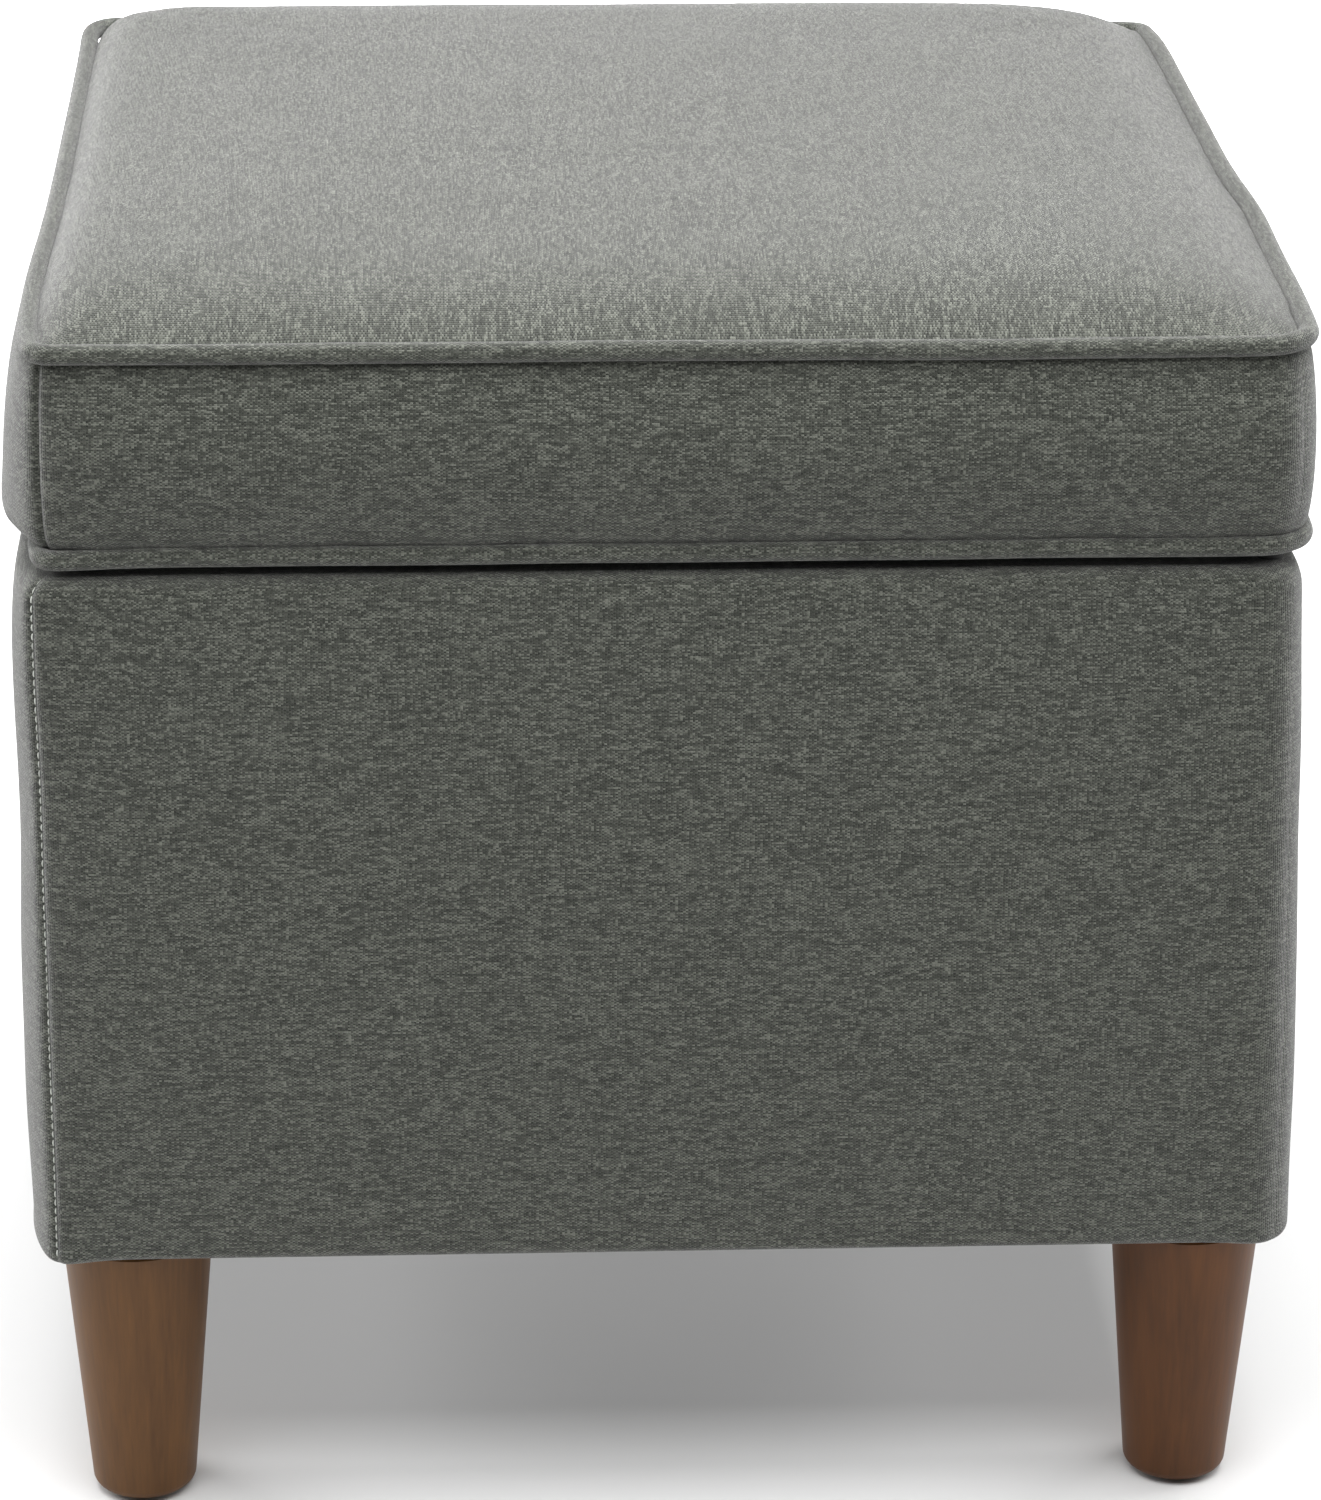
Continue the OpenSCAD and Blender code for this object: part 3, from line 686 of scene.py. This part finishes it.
def wall_rings(steps, rows):
    rings = []
    for up in rows:
        z = WALL_LOW + (WALL_HIGH - WALL_LOW) * up
        rings.append(ring(steps, BODY_HALF, CORNERS, wall_swells(z), z))
    return np.stack(rings, axis=1)


def level_square(steps, half, z):
    sx, sy = np.meshgrid(steps, steps, indexing="ij")
    return np.stack([sx * half, sy * half, np.full_like(sx, z)], axis=-1)


def fill_walls():
    """How far the four padded walls move when the box's cover is pulled over its padding."""
    rows = np.linspace(0.0, 1.0, 25)
    rings = wall_rings(EVEN_STEPS, rows)
    low = level_square(EVEN_STEPS, 0.96 * BODY_HALF, FOOT_Z)
    high = level_square(EVEN_STEPS, 0.92 * BODY_HALF, RIM_Z)
    return inflate(low, rings, high, (0, -1), True, 3.0, 2.5 * MM)[0]


WALL_ROWS = np.linspace(0.0, 1.0, 48)
WALL_FILL = fill_walls()


def sag_corners(points, level):
    """Lets the foot of the cover hang lower at the four corners of the ring at a level of points."""
    drop, reach, height = 2.0 * MM, 13 * MM, 14 * MM
    for corner in range(0, len(points), SIDE_COUNT):
        from_corner = np.linalg.norm(points[:, :, :2] - points[corner, level, :2], axis=2)
        low = np.exp(-np.maximum(points[..., 2] - FOOT_Z, 0.0) / height)
        points[..., 2] -= drop * low * np.exp(-((from_corner / reach) ** 2))


def box_cover():
    """Fabric over the box: under the panels, round the foot, up the walls, over the rim and down inside."""
    foot_steps, rim_steps, seam_rim_steps = 5, 8, 6
    foot_slack = 0.6 * MM
    flap = PANEL_IN - 0.2 * MM
    below = [ring(STEPS, half * MM, TIGHT_CORNERS, np.zeros(4), FOOT_Z) for half in (176, 186, 196)]
    for k in range(foot_steps):
        a = math.radians(90 - 90 * k / foot_steps)
        half = BODY_HALF - FOOT_ROUND * (1 - math.cos(a))
        z = FOOT_Z + FOOT_ROUND * (1 - math.sin(a)) - foot_slack * math.sin(a)
        share = 0.9 + 0.1 * math.cos(a)
        below.append(ring(STEPS, half, CORNERS, wall_swells(WALL_LOW) * share, z))
    above = []
    for k in range(1, rim_steps + 1):
        a = math.radians(90 * k / rim_steps)
        half = BODY_HALF - TOP_ROUND * (1 - math.cos(a))
        share = 0.15 + 0.85 * math.cos(a)
        z = WALL_HIGH + TOP_ROUND * math.sin(a)
        above.append(ring(STEPS, half, CORNERS, wall_swells(WALL_HIGH) * share, z))
    inside = (
        (PANEL_IN + 3.5 * MM, RIM_Z), (PANEL_IN + 0.8 * MM, RIM_Z - 0.2 * MM),
        (flap, RIM_Z - 1.2 * MM), (flap, RIM_Z - 3.5 * MM), (flap, RIM_Z - 12 * MM), (flap, RIM_Z - 24 * MM),
    )
    above += [ring(STEPS, half, TIGHT_CORNERS, np.zeros(4), z) for half, z in inside]
    walls = wall_rings(STEPS, WALL_ROWS) + spread_rings(WALL_FILL, STEPS, WALL_ROWS)
    walls += outwards(walls) * ripple(walls, 0.3 * MM, 70 * MM, 11)[..., None]
    points = np.concatenate([np.stack(below, axis=1), walls, np.stack(above, axis=1)], axis=1)
    sag_corners(points, len(below))
    seam_levels = slice(len(below), len(below) + len(WALL_ROWS) + seam_rim_steps)
    points[:, seam_levels] = pinch(points[:, seam_levels], 0.6 * MM, 0.8 * MM)
    skin = ring_piece(
        "box_cover_skin", points, material=COVER, body="box",
        stands_for=["box_cover"], slot="cover_fabric",
    )
    thicken(skin, FABRIC_T)
    seam_corners = (0, len(points) // 2)
    return [points[corner, seam_levels] for corner in seam_corners]


def stitches(name, lines, length, gap, radius, lift, body):
    """Short lengths of thread laid end to end along each line of points, lifted out from the middle."""
    verts, quads, sides = [], [], 6
    profile = ((0.0, 0.35), (0.12, 0.85), (0.5, 1.0), (0.88, 0.85), (1.0, 0.35))
    for line in lines:
        run = np.concatenate([[0.0], np.cumsum(np.linalg.norm(np.diff(line, axis=0), axis=1))])
        out = np.array([line[0][0], line[0][1], 0.0])
        out /= np.linalg.norm(out)
        for start in np.arange(0.0, run[-1] - length, length + gap):
            ends = [
                np.array([np.interp(at, run, line[:, c]) for c in range(3)]) for at in (start, start + length)
            ]
            along = (ends[1] - ends[0]) / np.linalg.norm(ends[1] - ends[0])
            side = np.cross(along, out)
            first = len(verts)
            for share, width in profile:
                rise = lift + 0.25 * MM * math.sin(math.pi * share)
                centre = ends[0] + (ends[1] - ends[0]) * share + out * rise
                for k in range(sides):
                    a = 2 * math.pi * k / sides
                    verts.append(centre + radius * width * (math.cos(a) * side + math.sin(a) * out))
            for j in range(len(profile) - 1):
                for k in range(sides):
                    m = (k + 1) % sides
                    low, high = first + j * sides, first + (j + 1) * sides
                    quads.append((low + k, low + m, high + m, high + k))
            last = first + (len(profile) - 1) * sides
            quads.append(tuple(first + k for k in reversed(range(sides))))
            quads.append(tuple(last + k for k in range(sides)))
    corners = [(0.0, 0.0)] * sum(len(q) for q in quads)
    return make_piece(name, verts, quads, corners, THREAD, body, slot="cover_fabric")


SEAM_LINES = box_cover()
stitches("box_corner_stitches", SEAM_LINES, 2.3 * MM, 0.9 * MM, 0.3 * MM, 0.35 * MM, "box")


# ---------------------------------------------------------------- lid cushion

LID_SWELLS = np.array([0.6, 2.2, 0.6, 1.8]) * MM
LOW_SWELLS = np.array([0.6, 4.4, 0.6, 0.8]) * MM
BAND_SWELLS = np.array([6.5, 2.0, 4.5, 7.5]) * MM
BAND_LOW, BAND_HIGH = LOW_WELT_Z + 1.5 * MM, TOP_WELT_Z - 1.5 * MM
TOP_CORNERS = CORNERS - WELT_R + 1.5 * MM
TOP_HALF = LID_HALF - WELT_R + 1.5 * MM
TOP_EDGE_Z = TOP_WELT_Z - 1.0 * MM
EDGE_RISE = 18.0 * MM
DOME = TOP_HI[2] - TOP_EDGE_Z - EDGE_RISE - 2.5 * MM


def band_rings(steps, rows):
    """The side band: drawn in at both welts and full between them, most of all at its front and left."""
    rings = []
    for up in rows:
        full = math.sin(math.pi * up) ** 0.4
        front_full = math.sin(math.pi * up)
        left_full = math.sin(math.pi * up ** 0.45) ** 0.33 * (0.95 + 0.6 * math.exp(-up / 0.1))
        half = LID_HALF - 0.6 * MM + (1.4 + 0.8 * (1 - up)) * full * MM
        z = BAND_LOW + (BAND_HIGH - BAND_LOW) * up
        swells = LOW_SWELLS + (LID_SWELLS - LOW_SWELLS) * up
        swells = swells + BAND_SWELLS * np.array([front_full, full, front_full, left_full])
        rings.append(ring(steps, half, CORNERS, swells, z, (0.4 + 0.6 * up, 1.0 + 1.2 * left_full)))
    return np.stack(rings, axis=1)


def top_grid(steps):
    """The crowned top.

    It rises steeply from the welt on its left and at its back, less so on its right and at its front,
    and domes in the middle."""
    sx, sy = np.meshgrid(steps, steps, indexing="ij")
    x, y = square_to_outline(sx, sy, TOP_HALF, TOP_CORNERS, LID_SWELLS, (1.0, 1.0))
    rise = 1.0
    for place, reach in ((1 + sx, 7 * MM), (1 - sx, 20 * MM), (1 + sy, 20 * MM), (1 - sy, 7 * MM)):
        rise = rise * (1.0 - np.exp(-place * TOP_HALF / reach))
    dome = ((1 - sx ** 2) * (1 - sy ** 2)) ** 0.8
    return np.stack([x, y, TOP_EDGE_Z + EDGE_RISE * rise + DOME * dome], axis=-1)


def fill_lid():
    """How far the side band and the top move when the cushion is filled."""
    rows = np.linspace(0.0, 1.0, 13)
    low = level_square(EVEN_STEPS, 0.96 * LID_HALF, BAND_LOW - 1.0 * MM)
    return inflate(low, band_rings(EVEN_STEPS, rows), top_grid(EVEN_STEPS), (0, -1), False, 4.0, 3.0 * MM)


BAND_ROWS = np.linspace(0.0, 1.0, 22)
BAND_FILL, TOP_FILL = fill_lid()


def puckers(run, size, wavelength, seed):
    """Small uneven gathers along a seam, at distances run along it."""
    line = np.stack([run, np.zeros_like(run), np.zeros_like(run)], axis=-1)
    return ripple(line, size, wavelength, seed)


def lid_band():
    points = band_rings(STEPS, BAND_ROWS) + spread_rings(BAND_FILL, STEPS, BAND_ROWS)
    out = outwards(points)
    height = BAND_HIGH - BAND_LOW
    run = arc_length(points)[:-1]
    from_edge = np.minimum(BAND_ROWS, 1.0 - BAND_ROWS)[None, :] * height
    gathers = puckers(run, 0.3 * MM, 16 * MM, 5) * np.exp(-from_edge / (7 * MM))
    points += out * (gathers + ripple(points, 0.25 * MM, 60 * MM, 3))[..., None]
    points = pinch(points, 1.0 * MM)
    skin = ring_piece(
        "lid_band_skin", points, material=COVER, body="lid",
        stands_for=["lid_side_band"], slot="cover_fabric",
    )
    thicken(skin, FABRIC_T)


def lid_top():
    points = top_grid(STEPS) + spread_cap(TOP_FILL, STEPS)
    sx, sy = np.meshgrid(STEPS, STEPS, indexing="ij")
    for across, along, seed in ((sx, sy, 7), (sy, sx, 8)):
        from_edge = (1.0 - np.abs(across)) * TOP_HALF
        run = along * TOP_HALF + np.sign(across)
        points[..., 2] += puckers(run, 0.3 * MM, 18 * MM, seed) * np.exp(-from_edge / (8 * MM))
    points[..., 2] += ripple(points, 0.3 * MM, 90 * MM, 9)
    skin = grid_piece(
        "lid_top_skin", points, points[..., 1], points[..., 0], False, material=COVER, body="lid",
        stands_for=["lid_top_cover"], slot="cover_fabric",
    )
    thicken(skin, FABRIC_T)


def lid_welt(name, z, node, swells, unevenness, lifts, joins):
    """Fabric-covered cord along an edge.

    lifts raise it near ring points, and joins are where its cover overlaps, with a fold in the middle."""
    line = ring(STEPS, LID_HALF, CORNERS, swells, z, unevenness)
    for place, height, width in lifts:
        distance = np.linalg.norm(line - line[place], axis=1)
        line[:, 2] += height * np.exp(-((distance / width) ** 2))
    line[:, 2] += ripple(line, 0.2 * MM, 80 * MM, 21)
    radius = np.full(len(line), WELT_R)
    for place in joins:
        distance = np.linalg.norm(line - np.array([place[0], place[1], z]), axis=1)
        radius += 0.3 * MM * np.exp(-((distance / (5 * MM)) ** 2))
        radius -= 0.5 * MM * np.exp(-((distance / (1.4 * MM)) ** 2))
    out = outwards(line)
    sides = 14
    turns = 2 * math.pi * np.arange(sides + 1) / sides
    upwards = np.array([0, 0, 1.0])
    around = np.cos(turns)[None, :, None] * out[:, None, :] + np.sin(turns)[None, :, None] * upwards
    points = line[:, None, :] + around * radius[:, None, None]
    quads, corners = grid_faces(len(line), sides + 1, True)
    run = arc_length(points)[:, 0]
    uvs = [[(run[i], WELT_R * turns[j]) for i, j in c] for c in corners]
    flat = points[:, :-1].reshape(-1, 3)
    wrapped = [
        tuple((q // (sides + 1)) * sides + (q % (sides + 1)) % sides for q in quad) for quad in quads
    ]
    welt = make_piece(
        name, flat, wrapped, np.array(uvs).reshape(-1, 2), COVER, "lid", [node], "cover_fabric",
    )
    smoothen(welt)


FRONT_LEFT, BACK_RIGHT, BACK_LEFT = 0, 2 * SIDE_COUNT, 3 * SIDE_COUNT
lid_welt(
    "lid_top_welt_cord", TOP_WELT_Z, "lid_top_welt", LID_SWELLS, (1.0, 1.0),
    [(BACK_LEFT, 3.0 * MM, 25 * MM), (BACK_RIGHT, -1.2 * MM, 25 * MM)], [(-104 * MM, -LID_HALF)],
)
lid_welt(
    "lid_bottom_welt_cord", LOW_WELT_Z, "lid_bottom_welt", LOW_SWELLS, (0.4, 1.0),
    [(FRONT_LEFT, -1.4 * MM, 24 * MM)], [(60 * MM, LID_HALF)],
)
lid_band()
lid_top()


# ---------------------------------------------------------------- foam

def wall_foam(name, face, first_side, reach):
    """A sheet of foam between a panel and the cover. reach is how far it goes to each side of the middle."""
    rows = np.linspace(0.0, 1.0, 17)
    rings = wall_rings(EVEN_STEPS, rows) + spread_rings(WALL_FILL, EVEN_STEPS, rows)
    rings -= outwards(rings) * FOAM_GAP
    side = len(EVEN_STEPS) - 1
    turn = first_side * math.pi / 2
    outer = np.concatenate([rings, rings[:1]])[first_side * side:(first_side + 1) * side + 1]
    spin = np.array([[math.cos(turn), math.sin(turn), 0], [-math.sin(turn), math.cos(turn), 0], [0, 0, 1]])
    outer = outer @ spin.T
    outer[..., 0] = np.clip(outer[..., 0], -reach, reach)
    inner = outer.copy()
    inner[..., 1] = -(PANEL_HALF + 0.3 * MM)
    sheet = np.stack([inner, outer]) @ spin
    count, levels = outer.shape[:2]
    verts = sheet.reshape(-1, 3)
    quads = [q[::-1] for q in grid_faces(count, levels, False)[0]]
    quads += [tuple(count * levels + c for c in q) for q in grid_faces(count, levels, False)[0]]
    border = np.concatenate([
        np.arange(count - 1) * levels, (count - 1) * levels + np.arange(levels - 1),
        np.arange(count - 1, 0, -1) * levels + levels - 1, np.arange(levels - 1, 0, -1),
    ])
    for a, b in zip(border, np.roll(border, -1)):
        quads.append((int(a), int(b), int(b) + count * levels, int(a) + count * levels))
    corners = [(0.0, 0.0)] * (4 * len(quads))
    piece = make_piece(name, verts, quads, corners, FOAM, "box", [face + "_padding"], "padding_foam")


def lid_foam():
    """The cushion's foam block, inside its top and band."""
    base_z = BOARD_TOP_Z + 0.3 * MM
    first_row = (base_z - BAND_LOW) / (BAND_HIGH - BAND_LOW)
    rows = np.linspace(first_row, 1.0, 9)
    rings = band_rings(EVEN_STEPS, rows) + spread_rings(BAND_FILL, EVEN_STEPS, rows)
    rings -= outwards(rings) * FOAM_GAP
    low = level_square(EVEN_STEPS, 0.985 * LID_HALF, base_z)
    high = top_grid(EVEN_STEPS) + TOP_FILL
    high[..., :2] *= 1.0 - FOAM_GAP / LID_HALF
    high[..., 2] -= FOAM_GAP
    verts, quads = closed_form(low, rings, high)
    corners = [(0.0, 0.0)] * (4 * len(quads))
    piece = make_piece("cushion_foam", verts, quads, corners, FOAM, "lid", ["lid_foam"], "padding_foam")


# The front and back sheets reach both corners, and the side sheets fit between them.
TO_CORNERS, BETWEEN_SHEETS = 1.0, PANEL_HALF - 0.3 * MM
for place, (face, reach) in enumerate((
    ("front", TO_CORNERS), ("right", BETWEEN_SHEETS), ("back", TO_CORNERS), ("left", BETWEEN_SHEETS),
)):
    wall_foam(face + "_foam_sheet", face, place, reach)
lid_foam()


# ---------------------------------------------------------------- linings

def cloth_square(name, node, half, z, sag, material, body, slot, up=True):
    """A square sheet, slack in the middle by sag, with its outer face up or down."""
    steps = np.linspace(-1.0, 1.0, 61)
    points = level_square(steps, half, z)
    sx, sy = points[..., 0] / half, points[..., 1] / half
    slack = (1 - sx ** 2) * (1 - sy ** 2)
    points[..., 2] += sag * slack * (0.8 + 0.2 * ripple(points, 1.0, 120 * MM, 31))
    points[..., 2] += ripple(points, 0.15 * MM, 45 * MM, 33) * np.minimum(1.0, 12 * slack)
    if not up:
        points = points[::-1]
    sheet = grid_piece(
        name, points, points[..., 0], points[..., 1], False, material=material, body=body,
        stands_for=[node], slot=slot,
    )
    thicken(sheet, LINING_T if material is LINING else NONWOVEN_T)


def wall_lining():
    low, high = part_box("wall_lining")
    rows = np.linspace(0.0, 1.0, 24)
    half = PANEL_IN - 2.0 * MM
    rings = [ring(STEPS, half, TIGHT_CORNERS, np.zeros(4), low[2] + (high[2] - low[2]) * up) for up in rows]
    points = np.stack(rings, axis=1)
    middle = np.sin(math.pi * rows)[None, :]
    points -= outwards(points) * (np.abs(ripple(points, 0.35 * MM, 60 * MM, 41)) * middle)[..., None]
    points = points[::-1]
    sheet = ring_piece(
        "wall_lining_cloth", points, material=LINING, body="box",
        stands_for=["wall_lining"], slot="lining_cloth",
    )
    thicken(sheet, LINING_T)


def wrap_strip():
    """Fabric from the lower welt to under the board, with its raw edge under the lining."""
    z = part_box("lid_wrap_strip")[0][2]
    halves = np.array([177.0, 180.0, 184.0, 188.0, 192.0, 196.0, 199.0, 201.0]) * MM
    rings = []
    for half in halves:
        share = np.clip((half - 190 * MM) / (11 * MM), 0.0, 1.0)
        rings.append(ring(STEPS, half, CORNERS, LOW_SWELLS * share, z, (0.4 * share, share)))
    points = np.stack(rings, axis=1)
    points[..., 2] += ripple(points, 0.08 * MM, 30 * MM, 51)
    sheet = ring_piece(
        "lid_wrap_cloth", points, material=COVER, body="lid",
        stands_for=["lid_wrap_strip"], slot="cover_fabric",
    )
    thicken(sheet, WRAP_T)


def linings():
    low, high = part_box("floor_lining")
    cloth_square(
        "floor_lining_cloth", "floor_lining", high[0] - 0.3 * MM, high[2], 0.0, LINING, "box", "lining_cloth",
    )
    low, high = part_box("lid_lining")
    cloth_square(
        "lid_lining_cloth", "lid_lining", high[0], low[2], -0.6 * MM, LINING, "lid", "lining_cloth",
        up=False,
    )
    low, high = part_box("dust_cover")
    cloth_square(
        "dust_cover_cloth", "dust_cover", high[0], low[2], -2.0 * MM, NONWOVEN, "box", "lining_cloth",
        up=False,
    )
    wall_lining()
    wrap_strip()


linings()


# ---------------------------------------------------------------- stage

def make_floor():
    n = Nodes("pale_floor")
    place = n.add("ShaderNodeTexCoord").outputs["Object"]
    tone = n.noise(place, 3.0, 2.0)
    colour = n.ramp(tone, [(0.0, (0.69, 0.69, 0.69)), (1.0, (0.73, 0.73, 0.73))])
    material = n.finish(colour, 0.9)
    mesh = bpy.data.meshes.new("floor")
    reach = 12.0
    corners = [(-reach, -reach, 0), (reach, -reach, 0), (reach, reach, 0), (-reach, reach, 0)]
    mesh.from_pydata(corners, [], [(0, 1, 2, 3)])
    mesh.materials.append(material)
    obj = bpy.data.objects.new("floor", mesh)
    bpy.context.collection.objects.link(obj)


def area_light(name, place, target, size, watts):
    light = bpy.data.lights.new(name, "AREA")
    light.shape = "RECTANGLE"
    light.size, light.size_y = size
    light.energy = watts
    obj = bpy.data.objects.new(name, light)
    obj.location = place
    obj.rotation_euler = (Vector(target) - Vector(place)).to_track_quat("-Z", "Y").to_euler()
    bpy.context.collection.objects.link(obj)


def make_light():
    world = bpy.data.worlds.new("studio")
    world.use_nodes = True
    background = world.node_tree.nodes["Background"]
    background.inputs["Color"].default_value = (1, 1, 1, 1)
    background.inputs["Strength"].default_value = 0.07
    bpy.context.scene.world = world
    bpy.context.scene.view_settings.view_transform = "Standard"
    area_light("overhead", (0, 0, 2.2), (0, 0, 0.4), (2.4, 1.8), 85)
    area_light("front top", (0, -1.0, 1.6), (0, -0.1, 0.35), (1.8, 0.5), 15)
    area_light("left", (-1.9, 0.7, 0.8), (0, 0, 0.3), (1.3, 1.2), 38)
    area_light("right", (1.9, 0.7, 0.8), (0, 0, 0.3), (1.3, 1.2), 31)
    area_light("low back", (0, 2.0, 0.19), (0, 0, 0.1), (2.6, 0.3), 65)


make_floor()
make_light()
